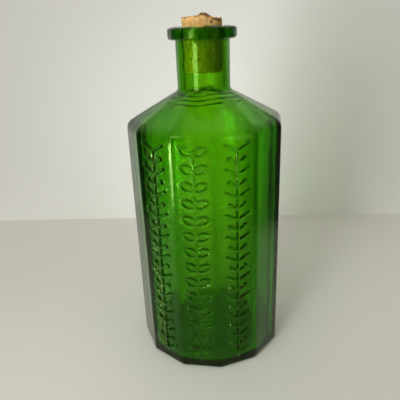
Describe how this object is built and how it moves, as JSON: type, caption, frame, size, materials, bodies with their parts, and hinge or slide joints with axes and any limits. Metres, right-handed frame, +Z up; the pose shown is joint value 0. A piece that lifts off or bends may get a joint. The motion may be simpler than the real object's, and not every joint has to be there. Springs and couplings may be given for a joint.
{
  "type": "medicine bottle",
  "caption": "Tall many-sided green glass bottle with a sloped shoulder, round neck, collar lip and a tapered cork that pulls out of the mouth.",
  "frame": {"origin": "centre of the foot, on the surface that the bottle stands on", "axes": "+Z up along the bottle's axis, out of the mouth; -Y out of the middle one of the three ornamented panels; +X to the right of that panel"},
  "size_m": [0.0858, 0.0858, 0.196],
  "materials": {
    "green_glass": "gloss",
    "natural_cork": "matte"
  },
  "bodies": {
    "bottle": {"glass_bottle": "green_glass"},
    "stopper": {"cork_stopper": "natural_cork"}
  },
  "joints": [
    {"name": "cork_pull", "type": "slide", "parent": "bottle", "child": "stopper", "axis": [0, 0, 1], "range_m": [0, 0.06]}
  ]
}
